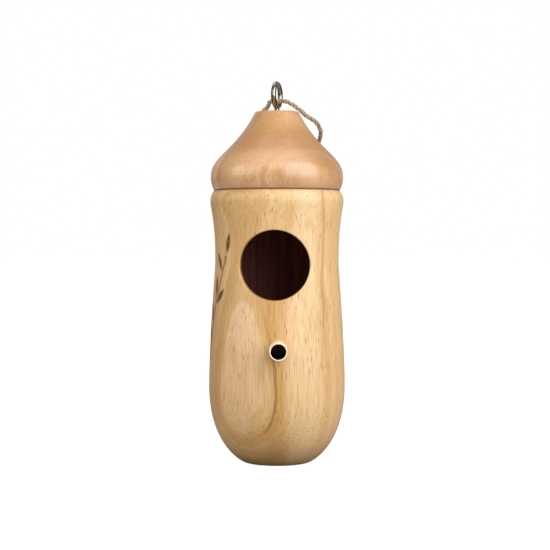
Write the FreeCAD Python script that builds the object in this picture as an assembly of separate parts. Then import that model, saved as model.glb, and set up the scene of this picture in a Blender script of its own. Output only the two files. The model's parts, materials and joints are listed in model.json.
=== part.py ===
import FreeCAD, Part
import math
import os

# Hanging hummingbird nesting house, turned in wood.
#
# Millimetres, +Z up.  The origin is the centre of the flat foot and the Z axis is the turning
# axis.  The entrance and the perch face -Y.  Bearings are in degrees about Z: 0 is straight to
# the front (-Y) and a negative bearing lies towards -X.
#
# Nodes: nest_body, lid, screw_eye, perch, and one loop of twine in two lengths,
# hanging_cord_upper (through the eye, over the lid) and hanging_cord_tail (down to the knot).

# --- Turned body, outside -----------------------------------------------------------------
FOOT_RADIUS = 14.2
FOOT_CURVE_REACH = 2.9          # how far the foot curve stays level before it climbs
BELLY_RADIUS = 31.75            # half of a 2 1/2 inch blank
BELLY_HEIGHT = 35.8
WAIST_RADIUS = 28.75
WAIST_HEIGHT = 94.3
BULGE_RADIUS = 31.0
BULGE_HEIGHT = 121.7
SEAM_RADIUS = 29.2
SEAM_HEIGHT = 126.8
SEAM_EDGE_ROUND = 0.5

# --- Turned body, inside ------------------------------------------------------------------
CAVITY_RADIUS = 21.5
CAVITY_FLOOR = 18.0
CAVITY_CORNER = 3.0
MOUTH_CHAMFER = 0.5

# --- Entrance and perch -------------------------------------------------------------------
ENTRANCE_DIAMETER = 31.8        # a 1 1/4 inch bit
ENTRANCE_HEIGHT = 92.3
ENTRANCE_BEARING = -2.5
ENTRANCE_EDGE_ROUND = 0.5
PERCH_HEIGHT = 54.8
PERCH_BEARING = 0.7
PERCH_DIAMETER = 8.0
PERCH_BORE = 6.8
PERCH_LENGTH = 23.0
PERCH_SOCKET_END = 24.3         # distance of the blind end of the socket from the Z axis
PERCH_GLUE_GAP = 0.05
PERCH_EDGE_ROUND = 0.2

# --- Burned sprig on the left of the body ----------------------------------------------------
SPRIG_TOP = (-53.8, 96.5)       # (bearing, height) of the tip of the stem
SPRIG_FOOT = (-79.0, 48.0)
SPRIG_BOW = -3.6                # degrees that the middle of the stem bows out from a straight line
SPRIG_STEM_WIDTH = 0.9
SPRIG_DEPTH = 0.35
SPRIG_STEM_POINTS = 7
LEAF_LENGTH = 9.0
LEAF_WIDTH = 2.8
LEAF_TOOL_HEIGHT = 3.0
LEAVES = (                      # (place along the stem, 0 tip to 1 foot; step aside; degrees off upright)
    (-0.025, 0.0, 16.0),
    (0.14, -1.0, -28.0),
    (0.38, -1.0, -6.0),
    (0.45, 1.0, 42.0),
    (0.62, -1.0, -20.0),
    (0.82, -1.0, -20.0),
)

# --- Lid --------------------------------------------------------------------------------------
LID_RADIUS = 30.8
LID_WIDEST_HEIGHT = 132.8
LID_TOP_HEIGHT = 163.3
LID_TOP_RADIUS = 10.0           # to the sharp corner, before it is rounded
LID_TOP_ROUND = 1.3
LID_SHOULDER_POLES = ((30.8, 143.0), (19.6, 144.3))
SPIGOT_CLEARANCE = 0.07
SPIGOT_LENGTH = 9.0
SPIGOT_CHAMFER = 0.6

# --- Screw eye -------------------------------------------------------------------------------
EYE_WIRE = 2.4
EYE_RADIUS = 5.3                # to the centre of the wire
EYE_CENTRE_HEIGHT = 170.9
EYE_NECK_BEND = 1.2
EYE_END_ANGLE = -60.0           # where the wire stops, seen along the hole, 0 is level
EYE_TURN = 17.5                 # the eye's hole points this far off the X axis, towards the front
SHANK_DEPTH = 18.0
THREAD_PITCH = 1.3
THREAD_TURNS = 10
THREAD_LENGTH = THREAD_PITCH * THREAD_TURNS
THREAD_HEIGHT = 0.4
THREAD_FLANK = 0.4              # half the width of the thread at its root
SHANK_CORE = 1.8

# --- Hanging cord ------------------------------------------------------------------------------
CORD_RADIUS = 1.05
CORD_EYE_HEIGHT = 168.3
CORD_EYE_HALF = 2.9             # straight length of cord either side of the middle of the eye
CORD_BEND_REACH = 31.5          # distance behind the Z axis where the cord turns down
CORD_BEND_HEIGHT = 134.0
CORD_BEND_HALF = 8.0            # half the distance between the two legs there
CORD_BEND_GAP = 0.5             # each length stops this far from the turning point
CORD_STEP = 2.5                 # length of the straight steps that follow a curve of the cord
CORD_LEAST_TURN = 2.0           # degrees; a step that turns less is joined to the one before
RIGHT_DRAPE = (                 # from the eye, over the lid's edge and round behind its shoulder
    (5.8, -1.2, 167.4),
    (9.6, -0.4, 164.9),
    (11.7, 1.6, 163.4),
    (13.2, 3.2, 162.1),
    (17.0, 5.0, 159.9),
    (18.5, 5.7, 158.7),
    (20.6, 7.6, 153.9),
    (20.0, 10.5, 151.1),
    (19.6, 13.6, 148.7),
    (19.4, 17.3, 145.7),
    (19.4, 21.0, 142.9),
    (18.4, 25.4, 139.4),
)
LEFT_DRAPE = (                  # from the eye, straight back over the lid's edge
    (-4.0, 2.6, 166.6),
    (-5.3, 5.4, 164.9),
    (-6.2, 9.2, 164.5),
    (-5.3, 12.0, 161.2),
    (-4.2, 15.3, 156.8),
    (-2.9, 20.4, 150.6),
    (-1.6, 25.7, 145.0),
    (0.2, 30.0, 140.5),
)
CORD_MIDDLE_HEIGHT = 115.0      # where the legs already close in on the knot
CORD_MIDDLE_HALF = 5.0
CORD_KNOT_HALF = 0.6
KNOT_HEIGHT = 88.0
KNOT_REACH = 34.7
KNOT_RADIUS = 3.2
CORD_END_HEIGHT = 74.0
CORD_END_SPREAD = 2.6

MITRED = 1                      # corner style of a swept bar
AXIS = FreeCAD.Vector(0, 0, 1)
ORIGIN = FreeCAD.Vector(0, 0, 0)


def outward(bearing):
    """Level unit vector from the Z axis towards a bearing."""
    angle = math.radians(bearing)
    return FreeCAD.Vector(math.sin(angle), -math.cos(angle), 0)


def sideways(bearing):
    """Level unit vector along the surface, towards growing bearings."""
    angle = math.radians(bearing)
    return FreeCAD.Vector(math.cos(angle), math.sin(angle), 0)


EYE_HOLE = sideways(-EYE_TURN)                       # direction of the eye's hole
EYE_BACK = outward(180 - EYE_TURN)                   # level, across the hole, to the back


# --- Profile helpers: points are (radius, height) in the half-plane y = 0 -----------------------
def at(point):
    return FreeCAD.Vector(point[0], 0, point[1])


def line(start, end):
    return Part.makeLine(at(start), at(end))


def bezier(*poles):
    curve = Part.BezierCurve()
    curve.setPoles([at(pole) for pole in poles])
    return curve.toShape()


def arc_from_upright(upright, end):
    """Arc that is upright at its first point and passes through its last."""
    inward = upright[0] - end[0]
    rise = end[1] - upright[1]
    radius = (inward ** 2 + rise ** 2) / (2 * inward)
    half = 0.5 * math.asin(rise / radius)
    middle = (
        upright[0] - radius * (1 - math.cos(half)),
        upright[1] + radius * math.sin(half),
    )
    return Part.Arc(at(upright), at(middle), at(end)).toShape()


def turned(edges):
    return Part.Face(Part.Wire(edges)).revolve(ORIGIN, AXIS, 360)


def rings(solid, radius, height):
    """The circular edges of a turned solid at a radius and a height."""
    found = []
    for edge in solid.Edges:
        point = edge.valueAt(edge.FirstParameter)
        level = abs(edge.BoundBox.ZLength) < 0.01
        if level and abs(point.z - height) < 0.01 and abs(math.hypot(point.x, point.y) - radius) < 0.01:
            found.append(edge)
    return found


def round_bar(points, radius):
    """Round bar through a run of points, mitred where it turns."""
    path = Part.makePolygon(points)
    section = Part.Wire(Part.makeCircle(radius, points[0], points[1] - points[0]))
    return path.makePipeShell([section], True, False, MITRED)


# --- Body ---------------------------------------------------------------------------------------
def body_outline():
    """Outside of the body from the foot to the seam."""
    foot = (FOOT_RADIUS, 0)
    belly = (BELLY_RADIUS, BELLY_HEIGHT)
    waist = (WAIST_RADIUS, WAIST_HEIGHT)
    bulge = (BULGE_RADIUS, BULGE_HEIGHT)
    return [
        bezier(foot, (FOOT_RADIUS + FOOT_CURVE_REACH, 0), (BELLY_RADIUS, 8.6), belly),
        bezier(belly, (BELLY_RADIUS, 56.7), (WAIST_RADIUS, 88.9), waist),
        bezier(waist, (WAIST_RADIUS, 113.1), (BULGE_RADIUS, 117.8), bulge),
        arc_from_upright(bulge, (SEAM_RADIUS, SEAM_HEIGHT)),
    ]


def skin_radius(height):
    """Radius of the outside of the body at a height."""
    level = Part.makePlane(200, 200, FreeCAD.Vector(-100, -100, height))
    return Part.Wire(body_outline()).section(level).Vertexes[0].X


def skin_frame(bearing, height):
    """Point on the outside of the body, with its upward tangent and outward normal."""
    radius = skin_radius(height)
    slope = skin_radius(height + 1) - radius
    point = outward(bearing) * radius + AXIS * height
    upward = (outward(bearing) * slope + AXIS).normalize()
    normal = (outward(bearing) - AXIS * slope).normalize()
    return point, upward, normal


def stem_place(share):
    """Bearing and height of the sprig's stem at a share of its length from the tip."""
    bow = SPRIG_BOW * math.sin(math.pi * share)
    bearing = SPRIG_TOP[0] + (SPRIG_FOOT[0] - SPRIG_TOP[0]) * share + bow
    height = SPRIG_TOP[1] + (SPRIG_FOOT[1] - SPRIG_TOP[1]) * share
    return bearing, height


def sprig_stem():
    """Tool that presses the stem's groove into the wood."""
    points = []
    for index in range(SPRIG_STEM_POINTS):
        point, _, normal = skin_frame(*stem_place(index / (SPRIG_STEM_POINTS - 1)))
        points.append(point + normal * (SPRIG_STEM_WIDTH / 2 - SPRIG_DEPTH))
    return round_bar(points, SPRIG_STEM_WIDTH / 2)


def sprig_leaf(share, aside, lean):
    """Tool for one leaf: a lens between two arcs, from a heel beside the stem towards its tip."""
    bearing, height = stem_place(share)
    bearing += math.degrees(aside / skin_radius(height))
    heel_point, upward, _ = skin_frame(bearing, height)
    sine = math.sin(math.radians(lean))
    along = upward * math.cos(math.radians(lean)) + sideways(bearing) * sine
    middle_bearing = bearing + math.degrees(sine * LEAF_LENGTH / 2 / heel_point.dot(outward(bearing)))
    middle, _, normal = skin_frame(middle_bearing, height + along.z * LEAF_LENGTH / 2)
    base = middle - normal * SPRIG_DEPTH
    across = normal.cross(along)
    tip = base + along * (LEAF_LENGTH / 2)
    heel = base - along * (LEAF_LENGTH / 2)
    near = Part.Arc(heel, base + across * (LEAF_WIDTH / 2), tip).toShape()
    far = Part.Arc(tip, base - across * (LEAF_WIDTH / 2), heel).toShape()
    return Part.Face(Part.Wire([near, far])).extrude(normal * LEAF_TOOL_HEIGHT)


def sprig():
    return [sprig_stem()] + [sprig_leaf(*leaf) for leaf in LEAVES]


def cavity():
    shape = Part.makeCylinder(CAVITY_RADIUS, SEAM_HEIGHT + 10 - CAVITY_FLOOR, AXIS * CAVITY_FLOOR)
    return shape.makeFillet(CAVITY_CORNER, rings(shape, CAVITY_RADIUS, CAVITY_FLOOR))


def entrance_edges(body):
    """The outer edges of the entrance: those of its curves that lie out near the skin."""
    bore_axis = outward(ENTRANCE_BEARING)
    found = []
    for edge in body.Edges:
        middle = edge.valueAt((edge.FirstParameter + edge.LastParameter) / 2)
        off_axis = (middle - AXIS * ENTRANCE_HEIGHT).cross(bore_axis)
        on_bore = abs(off_axis.Length - ENTRANCE_DIAMETER / 2) < 0.05
        outside = math.hypot(middle.x, middle.y) > (CAVITY_RADIUS + WAIST_RADIUS) / 2
        if on_bore and outside:
            found.append(edge)
    return found


def nest_body():
    foot_line = line((0, 0), (FOOT_RADIUS, 0))
    top_line = line((SEAM_RADIUS, SEAM_HEIGHT), (0, SEAM_HEIGHT))
    axis_line = line((0, SEAM_HEIGHT), (0, 0))
    body = turned([foot_line] + body_outline() + [top_line, axis_line])
    body = body.cut(cavity())
    body = body.makeChamfer(MOUTH_CHAMFER, rings(body, CAVITY_RADIUS, SEAM_HEIGHT))
    body = body.makeFillet(SEAM_EDGE_ROUND, rings(body, SEAM_RADIUS, SEAM_HEIGHT))
    entrance = Part.makeCylinder(
        ENTRANCE_DIAMETER / 2, BELLY_RADIUS + 5, AXIS * ENTRANCE_HEIGHT, outward(ENTRANCE_BEARING))
    body = body.cut(entrance)
    body = body.makeFillet(ENTRANCE_EDGE_ROUND, entrance_edges(body))
    socket = Part.makeCylinder(
        PERCH_DIAMETER / 2 + PERCH_GLUE_GAP,
        PERCH_LENGTH,
        outward(PERCH_BEARING) * PERCH_SOCKET_END + AXIS * PERCH_HEIGHT,
        outward(PERCH_BEARING),
    )
    return body.cut([socket] + sprig())


# --- Lid -----------------------------------------------------------------------------------------
def lid():
    spigot_radius = CAVITY_RADIUS - SPIGOT_CLEARANCE
    spigot_end = SEAM_HEIGHT - SPIGOT_LENGTH
    seam = (SEAM_RADIUS, SEAM_HEIGHT)
    widest = (LID_RADIUS, LID_WIDEST_HEIGHT)
    corner = (LID_TOP_RADIUS, LID_TOP_HEIGHT)
    lower_arc = arc_from_upright(
        (LID_RADIUS, -LID_WIDEST_HEIGHT), (SEAM_RADIUS, -SEAM_HEIGHT)).mirror(ORIGIN, AXIS)
    shape = turned([
        line((0, spigot_end), (spigot_radius, spigot_end)),
        line((spigot_radius, spigot_end), (spigot_radius, SEAM_HEIGHT)),
        line((spigot_radius, SEAM_HEIGHT), seam),
        lower_arc,
        bezier(widest, *LID_SHOULDER_POLES, corner),
        line(corner, (0, LID_TOP_HEIGHT)),
        line((0, LID_TOP_HEIGHT), (0, spigot_end)),
    ])
    shape = shape.makeChamfer(SPIGOT_CHAMFER, rings(shape, spigot_radius, spigot_end))
    shape = shape.makeFillet(SEAM_EDGE_ROUND, rings(shape, SEAM_RADIUS, SEAM_HEIGHT))
    shape = shape.makeFillet(LID_TOP_ROUND, rings(shape, LID_TOP_RADIUS, LID_TOP_HEIGHT))
    shank_foot = LID_TOP_HEIGHT - SHANK_DEPTH
    plain_length = SHANK_DEPTH - THREAD_LENGTH
    pilot = Part.makeCylinder(SHANK_CORE / 2, SHANK_DEPTH, AXIS * shank_foot)
    clearance = Part.makeCylinder(EYE_WIRE / 2, plain_length, AXIS * (LID_TOP_HEIGHT - plain_length))
    return shape.cut([pilot, clearance])


# --- Screw eye: drawn in the plane of its ring, then stood on the Z axis ---------------------------
def in_ring(across, height):
    return EYE_BACK * across + AXIS * height


def eye_wire_path():
    """Neck, bend and ring of the wire: up the Z axis, out to one side, and round to the neck."""
    drop = math.sqrt(EYE_RADIUS ** 2 + 2 * EYE_NECK_BEND * EYE_RADIUS)
    neck_top = EYE_CENTRE_HEIGHT - drop
    ring_start = math.atan2(-drop, -EYE_NECK_BEND)
    ring_end = math.radians(EYE_END_ANGLE) - 2 * math.pi
    bend_turn = ring_start + math.pi

    def on_ring(angle):
        return in_ring(EYE_RADIUS * math.cos(angle), EYE_CENTRE_HEIGHT + EYE_RADIUS * math.sin(angle))

    def on_bend(angle):
        across = EYE_NECK_BEND * (math.cos(angle) - 1)
        return in_ring(across, neck_top + EYE_NECK_BEND * math.sin(angle))

    plain_foot = LID_TOP_HEIGHT - (SHANK_DEPTH - THREAD_LENGTH)
    neck = Part.makeLine(in_ring(0, plain_foot), in_ring(0, neck_top))
    bend = Part.Arc(on_bend(0), on_bend(bend_turn / 2), on_bend(bend_turn)).toShape()
    first = Part.Arc(
        on_ring(ring_start), on_ring(ring_start - math.pi / 2), on_ring(ring_start - math.pi)).toShape()
    second_middle = (ring_start - math.pi + ring_end) / 2
    second = Part.Arc(
        on_ring(ring_start - math.pi), on_ring(second_middle), on_ring(ring_end)).toShape()
    return Part.Wire([neck, bend, first, second])


def screw_thread(foot_height):
    """Threaded core, with each turn of the thread drawn as a closed ring."""
    core = SHANK_CORE / 2
    points = [(0, foot_height), (core, foot_height)]
    for turn in range(THREAD_TURNS):
        middle = foot_height + (turn + 0.5) * THREAD_PITCH
        points.append((core, middle - THREAD_FLANK))
        points.append((core + THREAD_HEIGHT, middle))
        points.append((core, middle + THREAD_FLANK))
    head = foot_height + THREAD_LENGTH + THREAD_FLANK
    points.append((core, head))
    points.append((0, head))
    edges = [line(start, end) for start, end in zip(points, points[1:] + points[:1])]
    return turned(edges)


def screw_eye():
    path = eye_wire_path()
    start = path.OrderedVertexes[0].Point
    section = Part.Wire(Part.makeCircle(EYE_WIRE / 2, start, AXIS))
    wire = path.makePipeShell([section], True, False)
    shank_foot = LID_TOP_HEIGHT - SHANK_DEPTH
    return wire.fuse(screw_thread(shank_foot))


# --- Perch -----------------------------------------------------------------------------------------
def perch():
    foot = outward(PERCH_BEARING) * PERCH_SOCKET_END + AXIS * PERCH_HEIGHT
    tube = Part.makeCylinder(PERCH_DIAMETER / 2, PERCH_LENGTH, foot, outward(PERCH_BEARING))
    bore = Part.makeCylinder(PERCH_BORE / 2, PERCH_LENGTH, foot, outward(PERCH_BEARING))
    tube = tube.cut(bore)
    tip = foot + outward(PERCH_BEARING) * PERCH_LENGTH
    tip_edges = [edge for edge in tube.Edges
                 if edge.Curve.TypeId == "Part::GeomCircle" and (edge.Curve.Center - tip).Length < 0.01]
    return tube.makeFillet(PERCH_EDGE_ROUND, tip_edges)


# --- Hanging cord -------------------------------------------------------------------------------------
def cord_place(along_hole, reach, height):
    return EYE_HOLE * along_hole + EYE_BACK * reach + AXIS * height


def corners_only(points):
    """The points without those where the run goes nearly straight on."""
    kept = [points[0]]
    for point, following in zip(points[1:], points[2:]):
        if math.degrees((point - kept[-1]).getAngle(following - point)) > CORD_LEAST_TURN:
            kept.append(point)
    return kept + [points[-1]]


def smooth_run(points):
    """Short straight steps along the smooth curve through some points."""
    curve = Part.BSplineCurve()
    curve.interpolate(points)
    return corners_only(curve.discretize(Number=round(curve.length() / CORD_STEP)))


def hanging_cord_upper():
    legs = []
    for side, drape in ((-1, LEFT_DRAPE), (1, RIGHT_DRAPE)):
        eye = cord_place(side * CORD_EYE_HALF, 0, CORD_EYE_HEIGHT)
        foot = cord_place(side * CORD_BEND_HALF, CORD_BEND_REACH, CORD_BEND_HEIGHT + CORD_BEND_GAP)
        over_lid = [FreeCAD.Vector(*place) for place in drape]
        legs.append(smooth_run([eye] + over_lid + [foot + AXIS * CORD_STEP, foot]))
    left_run, right_run = legs
    return round_bar(left_run[::-1] + right_run, CORD_RADIUS)


def tail_strand(side):
    """One leg from the turning point to the knot, with its free end below."""
    top = cord_place(side * CORD_BEND_HALF, CORD_BEND_REACH, CORD_BEND_HEIGHT - CORD_BEND_GAP)
    middle = cord_place(side * CORD_MIDDLE_HALF, KNOT_REACH, CORD_MIDDLE_HEIGHT)
    knot = cord_place(side * CORD_KNOT_HALF, KNOT_REACH, KNOT_HEIGHT)
    end = cord_place(side * CORD_END_SPREAD, KNOT_REACH, CORD_END_HEIGHT)
    return round_bar(smooth_run([top, top - AXIS * CORD_STEP, middle, knot, end]), CORD_RADIUS)


def hanging_cord_tail():
    knot = Part.makeSphere(KNOT_RADIUS, cord_place(0, KNOT_REACH, KNOT_HEIGHT))
    return knot.fuse([tail_strand(-1), tail_strand(1)])


PIECES = {
    "nest_body": nest_body,
    "lid": lid,
    "screw_eye": screw_eye,
    "perch": perch,
    "hanging_cord_upper": hanging_cord_upper,
    "hanging_cord_tail": hanging_cord_tail,
}

os.makedirs("parts", exist_ok=True)
for name, build in PIECES.items():
    build().exportStep("parts/" + name + ".step")
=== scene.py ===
import json
import math
import random

import bpy
import numpy as np
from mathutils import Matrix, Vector


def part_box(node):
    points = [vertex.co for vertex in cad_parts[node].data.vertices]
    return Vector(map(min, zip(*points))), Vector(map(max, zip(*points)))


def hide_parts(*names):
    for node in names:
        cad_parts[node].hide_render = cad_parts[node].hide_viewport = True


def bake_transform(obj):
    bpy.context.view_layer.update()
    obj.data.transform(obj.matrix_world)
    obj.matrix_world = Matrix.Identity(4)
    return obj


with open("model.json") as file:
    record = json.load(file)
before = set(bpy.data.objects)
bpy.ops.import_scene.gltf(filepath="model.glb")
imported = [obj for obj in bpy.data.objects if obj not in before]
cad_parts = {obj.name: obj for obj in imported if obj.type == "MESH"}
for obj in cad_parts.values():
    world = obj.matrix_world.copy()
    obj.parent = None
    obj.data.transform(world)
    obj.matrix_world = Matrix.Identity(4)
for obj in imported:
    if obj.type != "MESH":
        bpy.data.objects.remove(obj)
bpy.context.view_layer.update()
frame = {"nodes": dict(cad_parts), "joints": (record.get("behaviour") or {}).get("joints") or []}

# The looks of a hanging hummingbird nesting house: two turned woods, a tube perch, a bright screw
# eye and a loop of jute twine.  Lengths are in millimetres and are turned into metres with MM;
# only the lights and their aim are given in metres.  Bearings are degrees about Z, 0 to the front
# (-Y) and negative towards -X.  A pair of numbers named after a place is where a change starts
# and ends.

MM = 0.001
SEED = 11

# --- Camera and stage -----------------------------------------------------------------------------
CAMERA_DISTANCE = 722.0
CAMERA_HEIGHT = 105.5
CAMERA_SIDE = -0.9
CAMERA_AIM_HEIGHT = 87.3
CAMERA_VIEW_WIDTH = 256.6       # width of the picture at the turning axis
CAMERA_REACH = 50000.0
STAGE_SIZE = 12000.0
FLOOR_GREY = 0.24               # share of light that the floor throws back up
FLOOR_GLOW = 0.93               # how bright the camera sees the floor
WORLD_SEEN = 1.0                # the backdrop, as the camera sees it
WORLD_UNSEEN = 0.34             # the same, as it lights the object
LIGHT_AIM = (0.0, 0.0, 0.09)
WHITE = (1.0, 1.0, 1.0)
LIGHTS = (                      # (name, place, size, watts, colour, whether surfaces mirror it)
    ("key_right", (0.52, -0.56, 0.48), (0.95, 0.92), 9.7, WHITE, True),
    ("side_left", (-0.70, -0.38, 0.43), (0.60, 0.60), 3.4, (1.0, 0.93, 0.82), True),
    ("top", (0.0, 0.2, 0.8), (0.50, 0.50), 1.0, WHITE, True),
    ("back", (-0.25, 0.75, 0.45), (0.80, 0.60), 7.0, WHITE, False),
)

# --- Turned parts that the materials follow -------------------------------------------------------
CAVITY_RADIUS = 21.5
CAVITY_MARGIN = 0.15
CAVITY_LOWEST = 10.0            # every face of the cavity is above this
SEAM_HEIGHT = 126.8
SEAM_RADIUS = 29.2
SEAM_SHADE_REACH = (0.15, 0.75)       # distances from the seam over which the painted shade ends
PERCH_SIDE = 0.44               # the tube's axis passes this far to the right of the Z axis
PERCH_BORE_SHARE = 0.92         # the bore's faces lie within this share of the outside radius
PORE_CORE = 0.45                # share of an open pore's size that is fully dark
PORE_CHOICE = (-0.05, 0.25)     # how sharply some pores are chosen and others left out

# --- Growth layers of the body --------------------------------------------------------------------
FIGURE_BEARING = -30.0          # the layers face this way
FIGURE_DEPTH = 26.95            # distance of the figured layer from the axis, at the foot
FIGURE_SLOPE = 0.0266           # how much further out the layer lies for each mm of height
FIGURE_WOBBLE = 1.3
PITH_DISTANCE = 700.0           # the layers curve round a pith this far behind them
FIGURE_INSIDE = (0.0, 0.5)      # depths over which the figured patch starts
FIGURE_PALE = (0.85, 1.25)      # depths over which it turns pale
FIGURE_TOP = (84.0, 96.0)
FIGURE_FOOT = (12.0, 66.0)
BORDER_HALF = (0.05, 0.55)      # the dark growth line round the patch
BORDER_RIGHT = (-9.0, -3.0)     # it is darkest to the right of here
BORDER_LOW = (50.0, 62.0)

# --- Tones of the body, with painted sheen, painted light and painted shade -----------------------
SHEEN_LEFT = (1.5, 10.0)      # x: painted sheen, a pale band on the right of the front where the right-hand light shines
SHEEN_RIGHT = (14.0, 24.0)
LIT_BROW_HEIGHT = (84.0, 110.0)     # painted light: paler above the entrance
LIT_BROW_LEFT = (-16.0, -8.0)
HEART_LEFT = (-6.5, -2.0)       # golden wood between the entrance and the perch
HEART_RIGHT = (2.0, 6.5)
HEART_FRONT = (0.0, -10.0)
HEART_TOP = (76.0, 90.0)
# painted shade: darker towards the foot and on the left edge
SHADED_FOOT = (20.0, 98.0)
SHADED_LEFT = (-31.5, -23.0)
SIDE_LINE = 23.0                # x of a growth line on the right, where nothing pushes it aside
SIDE_LINE_SWAY = 5.0
SIDE_LINE_HALF = (0.15, 0.7)
SIDE_LINE_FRONT = (-6.0, -16.0)
SIDE_LINE_FOOT = (40.0, 75.0)

# --- Growth layers and tones of the lid, with painted highlight and painted shade -----------------
LID_LAYER_BEARING = 35.0
LID_LAYER_DEPTH = 10.0
LID_LAYER_SLOPE = 0.10
LID_LAYER_WOBBLE = 1.6
LID_FOOT = (127.0, 135.0)
# painted highlight: a pale band across the shoulder
HIGHLIGHT_FOOT = (134.0, 139.0)
HIGHLIGHT_TOP = (142.0, 148.0)
HIGHLIGHT_SIDE = (9.0, 18.0)
# painted shade: the neck darker and more golden
NECK_SHADE_FOOT = (140.0, 147.0)
NECK_SHADE_TOP = (150.0, 160.0)
# painted shade: a darker band on the right side
RIGHT_SHADE_SIDE = (15.0, 23.0)
RIGHT_SHADE_FOOT = (131.0, 138.0)
LID_PORES = (130.0, 148.0)      # pores show best below this

# --- Burned sprig, pressed into the CAD body at the same places -----------------------------------
SPRIG_TOP = (-53.8, 96.5)       # (bearing, height) of the tip of the stem
SPRIG_FOOT = (-79.0, 48.0)
SPRIG_BOW = -3.6
SPRIG_STEM_WIDTH = 0.9
SPRIG_RADIUS = 29.4             # mean radius of the wood under the sprig
SPRIG_DEGREE = math.radians(1) * SPRIG_RADIUS    # length of one degree of bearing there
LEAF_LENGTH = 9.0
LEAF_WIDTH = 2.8
LEAVES = (                      # (place along the stem, 0 tip to 1 foot; step aside; degrees off upright)
    (-0.025, 0.0, 16.0),
    (0.14, -1.0, -28.0),
    (0.38, -1.0, -6.0),
    (0.45, 1.0, 42.0),
    (0.62, -1.0, -20.0),
    (0.82, -1.0, -20.0),
)
BURN_EDGE = (-0.30, 0.10)       # distances from the outline over which the burn ends
SCORCH_EDGE = (0.0, 1.1)
BURN_RAGGED = 0.7
FAR_AWAY = 50.0                 # stands for a distance beyond the ends of the stem

# --- Twine ----------------------------------------------------------------------------------------
TWINE_RADIUS = 1.05
PLY_RADIUS = 0.58
PLY_OFFSET = 0.50
PLY_COUNT = 3
PLY_SIDES = 9
TWIST_LENGTH = 5.2
TWINE_STEP = 0.32               # distance between the rings of a strand
TWIST_WAVES = ((0.06, 0.55, 0.0), (0.05, 1.7, 1.0))     # (turns, radians per mm, start)
PLY_WAVES = ((0.11, 0.9, 2.1), (0.08, 2.3, 1.0))        # (share, radians per mm, start per strand)
EYE_HALF = 2.9
BEND_HALF = 8.0                 # half the distance between the legs at the bend
BEND_RISE = 2.5
RIGHT_DRAPE = (
    (5.8, -1.2, 167.4),
    (9.6, -0.4, 164.9),
    (11.7, 1.6, 163.4),
    (13.2, 3.2, 162.1),
    (17.0, 5.0, 159.9),
    (18.5, 5.7, 158.7),
    (20.6, 7.6, 153.9),
    (20.0, 10.5, 151.1),
    (19.6, 13.6, 148.7),
    (19.4, 17.3, 145.7),
    (19.4, 21.0, 142.9),
    (18.4, 25.4, 139.4),
)
LEFT_DRAPE = (
    (-4.0, 2.6, 166.6),
    (-5.3, 5.4, 164.9),
    (-6.2, 9.2, 164.5),
    (-5.3, 12.0, 161.2),
    (-4.2, 15.3, 156.8),
    (-2.9, 20.4, 150.6),
    (-1.6, 25.7, 145.0),
    (0.2, 30.0, 140.5),
)
MIDDLE_HEIGHT = 115.0           # where the legs already close in on the knot
MIDDLE_HALF = 5.0
KNOT_REACH = 34.7
KNOT_HEIGHT = 88.0
KNOT_COIL_RADIUS = 2.1
KNOT_COIL_TURNS = 2.5
KNOT_COIL_HEIGHT = 5.2
KNOT_COIL_POINTS = 12
KNOT_ENTRY_HALF = 1.6           # where the left end enters the coil
KNOT_NECK_HALF = 0.7            # where the right leg enters it
KNOT_NECK_RISE = 0.7            # the same, above the knot, as a share of the coil's height
KNOT_CORE_HALF = 0.1
TWINE_END_HEIGHT = 74.5
TWINE_END_STEP = 1.0            # one end is this much shorter
TWINE_END_SPREAD = 2.4
FRAY_LENGTH = 6.0
FRAY_OPENING = 1.3              # how much wider the strands stand apart at the very end
END_TAPER = 1.2                 # length over which a cut end thickens from END_THICKNESS
END_THICKNESS = 0.35
FIBRE_COUNT = 620
FIBRE_RADIUS = 0.032
FIBRE_TAPER = 0.6
FIBRE_ROOT = 0.85               # where a fibre starts, as a share of the twine's radius
FIBRE_LENGTHS = (1.2, 3.6)
FIBRE_LIFTS = (0.15, 0.8)
FIBRE_CURLS = (-0.7, 0.7)
FIBRE_SHADES = (0, 9)
FIBRE_STEPS = 4
FIBRE_SIDES = 3
# painted light: heights over which the twine turns paler towards its top
LIT_TOP_HEIGHT = (150.0, 165.0)


# --- Node helpers ---------------------------------------------------------------------------------
def srgb(code):
    """Linear colour of a six-digit sRGB code."""
    channels = []
    for start in (0, 2, 4):
        value = int(code[start:start + 2], 16) / 255
        channels.append(value / 12.92 if value <= 0.04045 else ((value + 0.055) / 1.055) ** 2.4)
    return (*channels, 1.0)


class Value:
    """A number, vector or colour that a material's nodes work out at each point of a surface."""

    def __init__(self, socket):
        self.socket = socket
        self.tree = socket.id_data

    def calc(self, operation, *others):
        node = self.tree.nodes.new("ShaderNodeMath")
        node.operation = operation
        for socket, value in zip(node.inputs, (self, *others)):
            put(socket, value)
        return Value(node.outputs[0])

    def __add__(self, other):
        return self.calc("ADD", other)

    def __sub__(self, other):
        return self.calc("SUBTRACT", other)

    def __rsub__(self, other):
        return self * -1 + other

    def __mul__(self, other):
        return self.calc("MULTIPLY", other)

    def __truediv__(self, other):
        return self.calc("DIVIDE", other)

    def __abs__(self):
        return self.calc("ABSOLUTE")

    def ease(self, low, high, at_low=0.0, at_high=1.0):
        """Goes smoothly from at_low where this value is low to at_high where it is high."""
        node = add(self.tree, "ShaderNodeMapRange", {"interpolation_type": "SMOOTHSTEP"}, Value=self,
                   From_Min=low, From_Max=high, To_Min=at_low, To_Max=at_high)
        return Value(node.outputs["Result"])

    def tint(self, amount, code):
        """This colour, moved by an amount from 0 to 1 towards a six-digit sRGB code."""
        return mix(amount, self, srgb(code))


def put(socket, value):
    """Links a socket to a Value, or gives it a plain number, vector or colour."""
    if isinstance(value, Value):
        socket.id_data.links.new(value.socket, socket)
    else:
        socket.default_value = value


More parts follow.
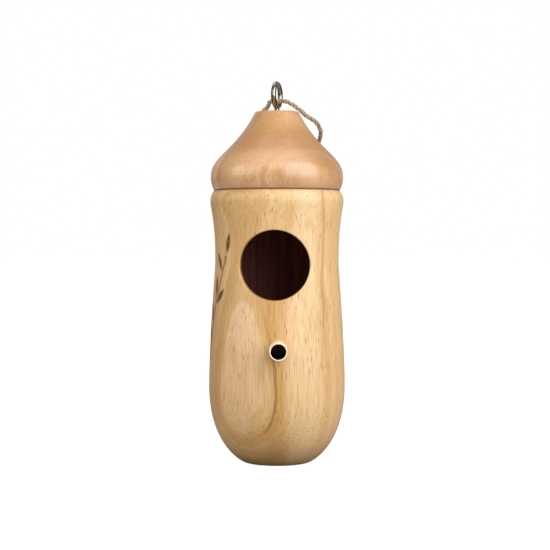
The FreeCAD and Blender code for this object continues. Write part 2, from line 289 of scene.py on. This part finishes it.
def put_all(node, **inputs):
    """Fills inputs by name, with _ for a space."""
    for name, value in inputs.items():
        put(node.inputs[name.replace("_", " ")], value)


def add(tree, kind, settings=None, **inputs):
    """New node with its settings and inputs."""
    node = tree.nodes.new(kind)
    for name, value in (settings or {}).items():
        setattr(node, name, value)
    put_all(node, **inputs)
    return node


def mix(amount, first, second, blend_type="MIX"):
    node = add(first.tree, "ShaderNodeMix", {"data_type": "RGBA", "blend_type": blend_type})
    put(node.inputs["Factor"], amount)
    put(node.inputs[6], first)
    put(node.inputs[7], second)
    return Value(node.outputs[2])


def vector(x, y, z):
    """Place for a texture, of which at least x is a Value."""
    node = add(x.tree, "ShaderNodeCombineXYZ", X=x, Y=y, Z=z)
    return Value(node.outputs[0])


def stretch(place, across, along):
    """Place for a texture, scaled across the upright grain and along it."""
    x, y, z = place
    return vector(x * across, y * across, z * along)


def noise(where, scale=1.0, detail=2.0, roughness=0.5):
    node = add(where.tree, "ShaderNodeTexNoise", Vector=where, Scale=scale, Detail=detail,
               Roughness=roughness)
    return Value(node.outputs["Fac"])


def ramp(factor, stops):
    """Colour between stops, each a place from 0 to 1 and a six-digit sRGB code."""
    node = add(factor.tree, "ShaderNodeValToRGB", Fac=factor)
    elements = node.color_ramp.elements
    for element, (place, _) in zip(elements, stops):
        element.position = place
    for place, _ in stops[2:]:
        elements.new(place)
    for element, (_, code) in zip(elements, stops):
        element.color = srgb(code)
    return Value(node.outputs["Color"])


def relief(height, strength, depth):
    """Normals of a surface with fine relief."""
    node = add(height.tree, "ShaderNodeBump", Strength=strength, Distance=depth * MM, Height=height)
    return Value(node.outputs["Normal"])


def coordinates(tree, name):
    """X, Y and Z of one of Blender's texture coordinates."""
    place = Value(add(tree, "ShaderNodeTexCoord").outputs[name])
    node = add(tree, "ShaderNodeSeparateXYZ", Vector=place)
    return [Value(socket) for socket in node.outputs]


def millimetres(tree):
    """X, Y and Z of the shared frame."""
    return [axis * (1 / MM) for axis in coordinates(tree, "Object")]


def carried(tree, name):
    """A number that the mesh carries at its points."""
    return Value(add(tree, "ShaderNodeAttribute", {"attribute_name": name}).outputs["Fac"])


def new_material(name):
    """A material, its node tree and its surface shader."""
    material = bpy.data.materials.new(name)
    material.use_nodes = True
    tree = material.node_tree
    return material, tree, tree.nodes["Principled BSDF"]


# --- Wood -----------------------------------------------------------------------------------------
def grain_streaks(place, across, along):
    """Long upright streaks."""
    return noise(stretch(place, across, along), 1.0, 3.0, 0.6)


def pore_dashes(place, across, along, size, share):
    """Short dark upright dashes: the long cells of the wood, cut open."""
    where = stretch(place, across, along)
    cells = add(where.tree, "ShaderNodeTexVoronoi", Vector=where, Scale=1.0, Randomness=1.0)
    inside = Value(cells.outputs["Distance"]).ease(size * PORE_CORE, size, 1.0, 0.0)
    lot = add(where.tree, "ShaderNodeSeparateColor", Color=Value(cells.outputs["Color"]))
    chosen = Value(lot.outputs[0]).ease(*(1 - share + step for step in PORE_CHOICE))
    return inside * chosen


def layer_depth(place, bearing, slope, offset, wobble):
    """Distance out through the growth layers, curved round a far pith."""
    x, y, z = place
    out_x = math.sin(math.radians(bearing))
    out_y = -math.cos(math.radians(bearing))
    out = x * out_x + y * out_y
    side = x * -out_y + y * out_x
    sag = side * side / (2 * PITH_DISTANCE)
    bump = noise(stretch(place, 0.07, 0.02)) - 0.5
    return out + sag - (z * slope + offset) + bump * wobble


def growth_bands(depth, spacing, start, roughness, stops):
    """Colour bands that follow the growth layers; start picks one run of bands out of many."""
    return ramp(noise(vector(depth * spacing, *start), 1.0, 2.0, roughness), stops)


def end_grain(tree):
    """1 where the surface faces along the trunk, 0 where it is upright."""
    return abs(coordinates(tree, "Normal")[2]).ease(0.25, 0.98)


def seam_shade(place):
    """Painted shade along the seam between lid and body, 1 at the seam and gone less than a millimetre
    above and below it.
    """
    x, y, z = place
    near = abs(z - SEAM_HEIGHT).ease(*SEAM_SHADE_REACH, 1.0, 0.0)
    radius = (x * x + y * y).calc("SQRT")
    return near * radius.ease(SEAM_RADIUS - 1.2, SEAM_RADIUS - 0.5)


def satin(shader, colour, streaks, dashes, roughness, coat, coat_roughness):
    """Lacquered wood finish over a colour."""
    put_all(
        shader,
        Base_Color=colour,
        Roughness=streaks.ease(0.3, 0.7, roughness - 0.05, roughness + 0.07),
        Coat_Weight=coat,
        Coat_Roughness=coat_roughness,
        Specular_IOR_Level=0.42,
        Normal=relief(streaks * 0.35 - dashes * 0.45, 0.35, 0.12),
    )


def body_painted_light(colour, place):
    """Painted light: a pale sheen band on the right of the front, and paler colour above the entrance."""
    x, _, z = place
    painted_sheen = x.ease(*SHEEN_LEFT, 0.0, 0.45) * x.ease(*SHEEN_RIGHT, 1.0, 0.4)
    painted_brow_light = z.ease(*LIT_BROW_HEIGHT, 0.0, 0.32) * x.ease(*LIT_BROW_LEFT)
    return colour.tint(painted_sheen, "f6daae").tint(painted_brow_light, "f3cd9c")


def body_figure(colour, place, depth):
    """The pale figured patch, the golden heart beside it and the dark growth line between."""
    x, y, z = place
    inside = depth.ease(*FIGURE_INSIDE) * z.ease(*FIGURE_TOP, 1.0, 0.0)
    patch = inside * depth.ease(*FIGURE_PALE) * z.ease(*FIGURE_FOOT, 0.55, 0.9)
    heart = x.ease(*HEART_LEFT) * x.ease(*HEART_RIGHT, 1.0, 0.0) * y.ease(*HEART_FRONT)
    heart = heart * z.ease(*HEART_TOP, 1.0, 0.0) * (1 - inside)
    line = abs(depth).ease(*BORDER_HALF, 1.0, 0.0) * (x.ease(*BORDER_RIGHT) * 0.65 + 0.12)
    line = line * z.ease(*BORDER_LOW, 1.0, 0.45)
    return colour.tint(patch, "f2cca2").tint(heart * 0.60, "c19247").tint(line, "8a5a24")


def body_shade_and_patches(colour, place):
    """Painted shade towards the foot and on the left edge, cloudy patches, and a line on the right."""
    x, y, z = place
    # painted shade towards the foot and on the left edge
    colour = colour.tint(z.ease(*SHADED_FOOT, 0.17, 0.0), "ab7a44")
    colour = colour.tint(x.ease(*SHADED_LEFT, 0.60, 0.0), "a56c30")
    blotch = noise(stretch(place, 0.06, 0.025))
    colour = colour.tint(blotch.ease(0.45, 0.75, 0.0, 0.22), "e2b184")
    colour = colour.tint(blotch.ease(0.25, 0.48, 0.35, 0.0), "c68f45")
    line = abs(blotch * SIDE_LINE_SWAY - SIDE_LINE + x).ease(*SIDE_LINE_HALF, 1.0, 0.0)
    line = line * y.ease(*SIDE_LINE_FRONT) * z.ease(*SIDE_LINE_FOOT, 0.0, 0.38)
    return colour.tint(line, "9c662c")


def body_wood():
    material, tree, shader = new_material("body_wood")
    place = millimetres(tree)
    depth = layer_depth(place, FIGURE_BEARING, FIGURE_SLOPE, FIGURE_DEPTH, FIGURE_WOBBLE)
    colour = growth_bands(depth, 0.33, (3.1, 0.4), 0.55, (
        (0.30, "c99a5b"),
        (0.43, "d6ab6e"),
        (0.52, "ddb579"),
        (0.62, "e4c08a"),
        (0.74, "d2a568"),
    ))
    # painted sheen on the right of the front and painted light above the entrance
    colour = body_painted_light(colour, place)
    colour = body_figure(colour, place, depth)
    colour = body_shade_and_patches(colour, place)
    streaks = grain_streaks(place, across=2.3, along=0.05)
    colour = colour.tint(streaks.ease(0.30, 0.52, 0.52, 0.0), "b07a3c")
    colour = colour.tint(streaks.ease(0.52, 0.72, 0.0, 0.30), "efcb92")
    dashes = pore_dashes(place, across=1.15, along=0.10, size=0.23, share=0.62)
    colour = colour.tint(dashes * 0.85, "86451a")
    colour = colour.tint(end_grain(tree) * 0.48, "8a5c30")
    # painted shade along the seam under the lid
    colour = colour.tint(seam_shade(place) * 0.75, "6e4524")
    burn, scorch = sprig_burn(place)
    colour = colour.tint(scorch * 0.35, "a0662e").tint(burn * 0.92, "4f2c14")
    satin(shader, colour, streaks, dashes, roughness=0.42, coat=0.35, coat_roughness=0.42)
    return material


def lid_tones_and_painted_light(colour, place):
    """Cloudy patches, a pinkish foot, a painted highlight across the shoulder, and painted shade on the
    golden neck and the right side.
    """
    x, _, z = place
    blotch = noise(stretch(place, 0.05, 0.05))
    painted_shoulder_highlight = z.ease(*HIGHLIGHT_FOOT, 0.0, 0.5) * z.ease(*HIGHLIGHT_TOP, 1.0, 0.0)
    painted_shoulder_highlight = painted_shoulder_highlight * abs(x).ease(*HIGHLIGHT_SIDE, 1.0, 0.0)
    painted_neck_shade = z.ease(*NECK_SHADE_FOOT, 0.0, 0.78) * z.ease(*NECK_SHADE_TOP, 1.0, 0.42)
    painted_right_shade = x.ease(*RIGHT_SHADE_SIDE, 0.0, 0.55) * z.ease(*RIGHT_SHADE_FOOT)
    colour = colour.tint(blotch.ease(0.45, 0.75, 0.0, 0.4), "d4a480")
    colour = colour.tint(z.ease(*LID_FOOT, 0.34, 0.0), "d2a287")
    # painted highlight on the shoulder, painted shade on the neck and the right side
    colour = colour.tint(painted_shoulder_highlight, "ecc09a")
    return colour.tint(painted_neck_shade, "b07b42").tint(painted_right_shade, "a8723c")


def lid_wood():
    material, tree, shader = new_material("lid_wood")
    place = millimetres(tree)
    depth = layer_depth(place, LID_LAYER_BEARING, LID_LAYER_SLOPE, LID_LAYER_DEPTH, LID_LAYER_WOBBLE)
    colour = growth_bands(depth, 0.16, (7.3, 1.9), 0.4, (
        (0.32, "bc8a54"),
        (0.46, "ca9c67"),
        (0.55, "d2a573"),
        (0.66, "dab083"),
        (0.78, "c4925b"),
    ))
    colour = lid_tones_and_painted_light(colour, place)
    streaks = grain_streaks(place, across=1.1, along=0.10)
    colour = colour.tint(streaks.ease(0.32, 0.52, 0.28, 0.0), "b67a45")
    colour = colour.tint(streaks.ease(0.52, 0.72, 0.0, 0.22), "edc79b")
    dashes = pore_dashes(place, across=1.00, along=0.24, size=0.22, share=0.66)
    colour = colour.tint(dashes * place[2].ease(*LID_PORES, 0.92, 0.18), "8e4f26")
    colour = colour.tint(end_grain(tree) * 0.35, "a06c3e")
    # painted shade along the seam at the lid's foot
    colour = colour.tint(seam_shade(place) * 0.55, "6e4524")
    satin(shader, colour, streaks, dashes, roughness=0.38, coat=0.9, coat_roughness=0.25)
    return material


def painted_shade_inside():
    """The unfinished inside of the body, coloured a dark reddish brown as painted shade, with faint
    upright tool marks.
    """
    material, tree, shader = new_material("painted_shade_inside")
    streaks = grain_streaks(millimetres(tree), across=0.8, along=0.02)
    # painted shade: the cavity walls much darker than the outer wood
    put_all(shader, Base_Color=ramp(streaks, ((0.35, "5f2c2c"), (0.65, "7f4638"))), Roughness=0.85)
    return material


# --- Burned sprig, in bearing and height ----------------------------------------------------------
def stem_bearing(share, sine):
    """Bearing of the stem at a share of its length, given the sine of that share of a half turn."""
    return share * (SPRIG_FOOT[0] - SPRIG_TOP[0]) + SPRIG_TOP[0] + sine * SPRIG_BOW


def leaf_distance(bearing, height, share, aside, lean):
    """Signed distance to one leaf, a lens between two arcs, measured on the surface."""
    cosine = math.cos(math.radians(lean))
    sine = math.sin(math.radians(lean))
    heel_bearing = stem_bearing(share, math.sin(math.pi * share)) + aside / SPRIG_DEGREE
    heel_height = SPRIG_TOP[1] + (SPRIG_FOOT[1] - SPRIG_TOP[1]) * share
    half_length = LEAF_LENGTH / 2
    half_width = LEAF_WIDTH / 2
    right = (bearing - (heel_bearing + sine * half_length / SPRIG_DEGREE)) * SPRIG_DEGREE
    rise = height - (heel_height + cosine * half_length)
    along = rise * cosine + right * sine
    across = right * cosine - rise * sine
    arc_radius = (half_length ** 2 + half_width ** 2) / (2 * half_width)
    off_centre = abs(across) + (arc_radius - half_width)
    return (along * along + off_centre * off_centre).calc("SQRT") - arc_radius


def sprig_burn(place):
    """How much the wood is burned to a stem and leaves, and scorched round them, each 0 to 1."""
    x, y, z = place
    bearing = x.calc("ARCTAN2", y * -1) * (180 / math.pi)
    share = (z - SPRIG_TOP[1]) / (SPRIG_FOOT[1] - SPRIG_TOP[1])
    middle = stem_bearing(share, (share * math.pi).calc("SINE"))
    off_stem = abs((bearing - middle) * SPRIG_DEGREE) - SPRIG_STEM_WIDTH / 2
    beside_stem = share.calc("GREATER_THAN", 0.0) * share.calc("LESS_THAN", 1.0)
    distance = off_stem + (1 - beside_stem) * FAR_AWAY
    for leaf in LEAVES:
        distance = distance.calc("MINIMUM", leaf_distance(bearing, z, *leaf))
    distance = distance + (noise(vector(x, y, z), 1.3) - 0.5) * BURN_RAGGED
    uneven = noise(vector(x, y, z * 0.5), 0.55).ease(0.30, 0.60, 0.70, 1.0)
    return distance.ease(*BURN_EDGE, 1.0, 0.0) * uneven, distance.ease(*SCORCH_EDGE, 1.0, 0.0)


# --- Perch, metal and twine -----------------------------------------------------------------------
def perch_cane():
    material, tree, shader = new_material("perch_cane")
    x, y, z = millimetres(tree)
    fibres = noise(vector(x * 3.0, y * 0.12, z * 3.0), 1.0, 3.0, 0.6)
    colour = ramp(fibres, ((0.30, "e6d0ac"), (0.50, "f8ead0"), (0.70, "fff8ea")))
    satin(shader, colour, fibres, 0.0, roughness=0.42, coat=0.2, coat_roughness=0.35)
    return material


def perch_bore():
    # painted shade: the bore is coloured near-black for the darkness inside the tube
    material, tree, shader = new_material("perch_bore")
    bore_shade_mottle = noise(vector(*millimetres(tree)), 0.9, 3.0)
    colour = ramp(bore_shade_mottle, ((0.35, "040303"), (0.70, "0d0908")))
    put_all(shader, Base_Color=colour, Roughness=0.9, Specular_IOR_Level=0.1)
    return material


def eye_metal():
    """Bright nickel with a painted reflection of a studio with dark flags, darker where it mirrors the
    space above, with drawing marks and dull patches.
    """
    material, tree, shader = new_material("eye_metal")
    x, y, z = millimetres(tree)
    marks = noise(vector(x * 6.0, y * 6.0, z * 1.2), 1.0, 3.0)
    dull = noise(vector(x, y, z), 0.6)
    metal = ramp(dull, ((0.35, "b9b8a8"), (0.60, "e4e3dc")))
    # painted reflection: the colour follows the mirrored view, in bright and dark bands like softboxes
    # and flags
    mirrored_x, _, mirrored_z = coordinates(tree, "Reflection")
    painted_flag_reflection = ramp(mirrored_x * 0.5 + 0.5, (
        (0.05, "55544a"),
        (0.20, "a5a498"),
        (0.36, "ffffff"),
        (0.50, "c9c7b8"),
        (0.60, "615f50"),
        (0.68, "ffffff"),
        (0.84, "b5b3a0"),
        (0.96, "35332a"),
    ))
    # painted reflection: darker where the mirrored view points up
    colour = mix(1.0, metal, painted_flag_reflection, "MULTIPLY").tint(mirrored_z.ease(0.45, 0.95, 0.0, 0.45), "3a3932")
    put_all(
        shader,
        Base_Color=colour,
        Metallic=1.0,
        Roughness=dull.ease(0.3, 0.7, 0.24, 0.12),
        Normal=relief(marks, 0.12, 0.05),
    )
    return material


def jute():
    """Strands read their own length, turn and rise from the twine's mesh; the top is paler as painted
    light, and the dips between strands darker as painted shade.
    """
    material, tree, shader = new_material("jute_twine")
    along = carried(tree, "twine_along")
    hairs = noise(vector(along * 0.35, carried(tree, "twine_around") * 5.0, 0.0), 2.2, 3.0, 0.65)
    patches = noise(vector(along * 0.16, 4.0, 0.0))
    height = millimetres(tree)[2]
    colour = ramp(hairs, ((0.30, "5a4836"), (0.45, "978166"), (0.58, "c2af93"), (0.72, "e6dac4")))
    colour = colour.tint(patches.ease(0.40, 0.70, 0.0, 0.55), "6b553f")
    # painted light: paler towards the top, where light falls from above
    colour = colour.tint(height.ease(*LIT_TOP_HEIGHT, 0.0, 0.40), "e3ceb2")
    # painted shade in the dips between the strands, near the twine's core
    colour = colour.tint(carried(tree, "twine_rise").ease(0.62, 0.92, 0.85, 0.0), "2e2117")
    put_all(
        shader,
        Base_Color=colour,
        Roughness=0.88,
        Sheen_Weight=0.35,
        Specular_IOR_Level=0.2,
        Normal=relief(hairs, 0.6, 0.08),
    )
    return material


def dress(node, materials, pick=None):
    """Gives a CAD node its materials; pick says which one each face takes."""
    mesh = frame["nodes"][node].data
    mesh.materials.clear()
    for material in materials:
        mesh.materials.append(material)
    for polygon in mesh.polygons:
        polygon.material_index = pick(polygon) if pick else 0


def inside_body(polygon):
    """1 for the faces of the cavity."""
    centre = polygon.center / MM
    radius = math.hypot(centre.x, centre.y)
    return int(radius < CAVITY_RADIUS + CAVITY_MARGIN and centre.z > CAVITY_LOWEST)


def perch_bore_picker():
    """Picks 1 for the faces of the bore, which look towards the tube's own axis."""
    low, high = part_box("perch")
    axis_height = (low.z + high.z) / 2
    outside = (high.z - low.z) / 2

    def pick(polygon):
        radius = math.hypot(polygon.center.x - PERCH_SIDE * MM, polygon.center.z - axis_height)
        lies_along = abs(polygon.normal.y) < 0.5
        return int(lies_along and radius < outside * PERCH_BORE_SHARE)

    return pick


# --- Twine mesh -----------------------------------------------------------------------------------
def joint(name):
    return next(item for item in frame["joints"] if item["name"] == name)


def natural_spline(points, step):
    """Points every step or so on the smooth curve through some points."""
    points = np.array(points, float)
    chords = np.linalg.norm(np.diff(points, axis=0), axis=1)
    knots = np.concatenate([[0.0], np.cumsum(chords)])
    count = len(points)
    system = np.zeros((count, count))
    slopes = np.diff(points, axis=0) / chords[:, None]
    turns = np.zeros((count, 3))
    system[0, 0] = 1.0
    system[-1, -1] = 1.0
    for row in range(1, count - 1):
        before, after = chords[row - 1], chords[row]
        system[row, row - 1:row + 2] = (before, 2 * (before + after), after)
        turns[row] = 6 * (slopes[row] - slopes[row - 1])
    bends = np.linalg.solve(system, turns)
    places = np.linspace(0, knots[-1], max(2, int(knots[-1] / step) + 1))
    spans = np.clip(np.searchsorted(knots, places, side="right") - 1, 0, count - 2)
    width = chords[spans][:, None]
    a = (knots[spans + 1] - places)[:, None] / width
    b = (places - knots[spans])[:, None] / width
    lift = ((a ** 3 - a) * bends[spans] + (b ** 3 - b) * bends[spans + 1]) * width ** 2 / 6
    return a * points[spans] + b * points[spans + 1] + lift


def twine_path():
    """The whole loop: one free end, knot, left leg, eye, right leg, knot, other free end."""
    hole = np.array(joint("cord_swing")["axis"], float)
    eye = np.array(joint("cord_swing")["pos_m"], float) / MM
    bend = np.array(joint("cord_bend")["pos_m"], float) / MM
    up = np.array([0.0, 0.0, 1.0])
    back = np.cross(up, hole)

    def hanging(half, height):
        return back * KNOT_REACH + hole * half + up * height

    def at_bend(half, rise):
        return bend + hole * half + up * rise

    path = [
        hanging(-TWINE_END_SPREAD, TWINE_END_HEIGHT),
        hanging(-KNOT_ENTRY_HALF, KNOT_HEIGHT - KNOT_COIL_HEIGHT),
    ]
    for index in range(KNOT_COIL_POINTS + 1):
        share = index / KNOT_COIL_POINTS
        angle = 2 * math.pi * KNOT_COIL_TURNS * share + math.pi
        ring = hole * math.cos(angle) + back * math.sin(angle)
        rise = up * KNOT_COIL_HEIGHT * (share - 0.5)
        path.append(hanging(0.0, KNOT_HEIGHT) + ring * KNOT_COIL_RADIUS + rise)
    path += [
        hanging(-MIDDLE_HALF, MIDDLE_HEIGHT),
        at_bend(-BEND_HALF, -BEND_RISE),
        at_bend(-BEND_HALF, BEND_RISE),
    ]
    path += [np.array(place) for place in reversed(LEFT_DRAPE)]
    path += [eye - hole * EYE_HALF, eye, eye + hole * EYE_HALF]
    path += [np.array(place) for place in RIGHT_DRAPE]
    path += [
        at_bend(BEND_HALF, BEND_RISE),
        at_bend(BEND_HALF, -BEND_RISE),
        hanging(MIDDLE_HALF, MIDDLE_HEIGHT),
        hanging(KNOT_NECK_HALF, KNOT_HEIGHT + KNOT_COIL_HEIGHT * KNOT_NECK_RISE),
        hanging(KNOT_CORE_HALF, KNOT_HEIGHT),
        hanging(TWINE_END_SPREAD, TWINE_END_HEIGHT + TWINE_END_STEP),
    ]
    return natural_spline(path, TWINE_STEP)


def moving_frames(path):
    """Tangents and two cross directions that turn as little as possible along a path."""
    tangents = np.gradient(path, axis=0)
    tangents /= np.linalg.norm(tangents, axis=1)[:, None]
    firsts = np.zeros_like(path)
    start = np.cross(tangents[0], [1.0, 0.0, 0.0])
    firsts[0] = start / np.linalg.norm(start)
    for index in range(1, len(path)):
        side = firsts[index - 1] - tangents[index] * (firsts[index - 1] @ tangents[index])
        firsts[index] = side / np.linalg.norm(side)
    return tangents, firsts, np.cross(tangents, firsts)


class Tubes:
    """Gathers tubes into one mesh, with each point's length along, turn around and rise."""

    def __init__(self):
        self.points = []
        self.faces = []
        self.along = []
        self.around = []
        self.rise = []

    def add(self, centres, firsts, seconds, radii, sides, lengths, shift=0.0, core=None):
        """One tube; core is the line that its points' rise is measured from, in twine radii."""
        base = len(self.points)
        for ring, (centre, radius, length) in enumerate(zip(centres, radii, lengths)):
            for side in range(sides):
                angle = 2 * math.pi * side / sides
                out = firsts[ring] * math.cos(angle) + seconds[ring] * math.sin(angle)
                point = centre + out * radius
                rise = 1.0 if core is None else np.linalg.norm(point - core[ring]) / TWINE_RADIUS
                self.points.append(point)
                self.along.append(length)
                self.around.append(shift + abs(2 * side / sides - 1))
                self.rise.append(rise)
        self.close(base, len(centres), sides)

    def close(self, base, rings, sides):
        """Faces between the rings of the newest tube, and its two ends."""
        for low in range(base, base + (rings - 1) * sides, sides):
            high = low + sides
            for side in range(sides):
                follow = (side + 1) % sides
                self.faces.append((low + side, low + follow, high + follow, high + side))
        last = base + (rings - 1) * sides
        self.faces.append(tuple(base + side for side in reversed(range(sides))))
        self.faces.append(tuple(last + side for side in range(sides)))

    def build(self, name, material):
        mesh = bpy.data.meshes.new(name)
        mesh.from_pydata([tuple(point * MM) for point in self.points], [], self.faces)
        numbers = {"twine_along": self.along, "twine_around": self.around, "twine_rise": self.rise}
        for label, values in numbers.items():
            attribute = mesh.attributes.new(label, "FLOAT", "POINT")
            attribute.data.foreach_set("value", np.array(values, np.float32))
        mesh.materials.append(material)
        mesh.polygons.foreach_set("use_smooth", [True] * len(mesh.polygons))
        mesh.update()
        return place_object(name, mesh)


def place_object(name, data):
    """New object in the scene."""
    thing = bpy.data.objects.new(name, data)
    bpy.context.scene.collection.objects.link(thing)
    return thing


def waves(lengths, terms, starts):
    """Sum of sine waves along the twine; each term's start is counted this many times."""
    return sum(size * np.sin(lengths * rate + start * starts) for size, rate, start in terms)


def lay_plies(tubes, path, firsts, seconds):
    """Twisted strands, a little uneven in thickness and twist; at both ends they open out."""
    lengths = np.concatenate([[0.0], np.cumsum(np.linalg.norm(np.diff(path, axis=0), axis=1))])
    to_end = np.minimum(lengths, lengths[-1] - lengths)
    opening = 1 + FRAY_OPENING * np.clip(1 - to_end / FRAY_LENGTH, 0, 1) ** 2
    taper = np.clip(END_THICKNESS + to_end / END_TAPER, END_THICKNESS, 1.0)
    slack = waves(lengths, TWIST_WAVES, 1)
    for ply in range(PLY_COUNT):
        thickness = 1 + waves(lengths, PLY_WAVES, ply)
        angle = 2 * math.pi * (lengths / TWIST_LENGTH + slack + ply / PLY_COUNT)
        offset = (firsts * np.cos(angle)[:, None] + seconds * np.sin(angle)[:, None]) * PLY_OFFSET
        centres = path + offset * opening[:, None]
        radii = PLY_RADIUS * thickness * taper
        tubes.add(centres, firsts, seconds, radii, PLY_SIDES, lengths, ply * 3.0, path)
    return lengths


def lay_fibres(tubes, path, tangents, firsts, seconds, lengths, draw):
    """Loose fibres that leave the surface and lift away."""
    shares = [step / FIBRE_STEPS for step in range(FIBRE_STEPS + 1)]
    radii = [FIBRE_RADIUS * (1 - FIBRE_TAPER * share) for share in shares]
    rings = len(shares)
    for _ in range(FIBRE_COUNT):
        place = draw.randrange(len(path))
        angle = draw.uniform(0, 2 * math.pi)
        out = firsts[place] * math.cos(angle) + seconds[place] * math.sin(angle)
        side = np.cross(tangents[place], out)
        lean = draw.choice((-1, 1))
        length = draw.uniform(*FIBRE_LENGTHS)
        lift = draw.uniform(*FIBRE_LIFTS)
        curl = draw.uniform(*FIBRE_CURLS)
        shade = draw.uniform(*FIBRE_SHADES)
        centres = [
            path[place] + out * (TWINE_RADIUS * FIBRE_ROOT + lift * share ** 1.5)
            + tangents[place] * lean * length * share + side * curl * share ** 2
            for share in shares
        ]
        spots = [lengths[place]] * rings
        tubes.add(centres, [out] * rings, [side] * rings, radii, FIBRE_SIDES, spots, shade)


def twine():
    path = twine_path()
    tangents, firsts, seconds = moving_frames(path)
    tubes = Tubes()
    lengths = lay_plies(tubes, path, firsts, seconds)
    lay_fibres(tubes, path, tangents, firsts, seconds, lengths, random.Random(SEED))
    loop = tubes.build("twine_loop", jute())
    bend = Vector(joint("cord_bend")["pos_m"])
    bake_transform(loop)
    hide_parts("hanging_cord_upper", "hanging_cord_tail")


# --- Stage ----------------------------------------------------------------------------------------
def camera_only(tree, seen, unseen):
    """One value for rays straight from the camera and another for light that falls on things."""
    direct = Value(add(tree, "ShaderNodeLightPath").outputs["Is Camera Ray"])
    return direct * (seen - unseen) + unseen


def pale_floor():
    half = STAGE_SIZE * MM / 2
    corners = [(-half, -half, 0), (half, -half, 0), (half, half, 0), (-half, half, 0)]
    mesh = bpy.data.meshes.new("floor")
    mesh.from_pydata(corners, [], [(0, 1, 2, 3)])
    material, tree, shader = new_material("pale_floor")
    put_all(
        shader,
        Base_Color=(FLOOR_GREY, FLOOR_GREY, FLOOR_GREY, 1),
        Roughness=0.9,
        Emission_Color=(*WHITE, 1),
        Emission_Strength=camera_only(tree, FLOOR_GLOW, 0.0),
    )
    mesh.materials.append(material)
    place_object("floor", mesh)


def look_at(thing, place, aim):
    """Puts a light or camera at a place, turned to face an aim."""
    thing.location = place
    thing.rotation_euler = (Vector(aim) - Vector(place)).to_track_quat("-Z", "Y").to_euler()


def soft_light(name, place, size, power, colour, mirrored):
    data = bpy.data.lights.new(name, "AREA")
    data.shape = "RECTANGLE"
    data.size, data.size_y = size
    data.energy = power
    data.color = colour
    lamp = place_object(name, data)
    look_at(lamp, place, LIGHT_AIM)
    lamp.visible_glossy = mirrored


def studio():
    world = bpy.data.worlds.new("studio")
    bpy.context.scene.world = world
    world.use_nodes = True
    tree = world.node_tree
    strength = camera_only(tree, WORLD_SEEN, WORLD_UNSEEN)
    put_all(tree.nodes["Background"], Color=(*WHITE, 1), Strength=strength)
    for light in LIGHTS:
        soft_light(*light)
    bpy.context.scene.view_settings.view_transform = "Standard"


def camera():
    data = bpy.data.cameras.new("camera")
    data.sensor_fit = "HORIZONTAL"
    data.angle = 2 * math.atan(CAMERA_VIEW_WIDTH / 2 / CAMERA_DISTANCE)
    data.clip_end = CAMERA_REACH * MM
    eye = place_object("camera", data)
    place = Vector((CAMERA_SIDE, -CAMERA_DISTANCE, CAMERA_HEIGHT)) * MM
    look_at(eye, place, Vector((CAMERA_SIDE, 0, CAMERA_AIM_HEIGHT)) * MM)
    bpy.context.scene.camera = eye


dress("nest_body", [body_wood(), painted_shade_inside()], inside_body)
dress("lid", [lid_wood()])
dress("screw_eye", [eye_metal()])
dress("perch", [perch_cane(), perch_bore()], perch_bore_picker())
twine()
pale_floor()
studio()
camera()
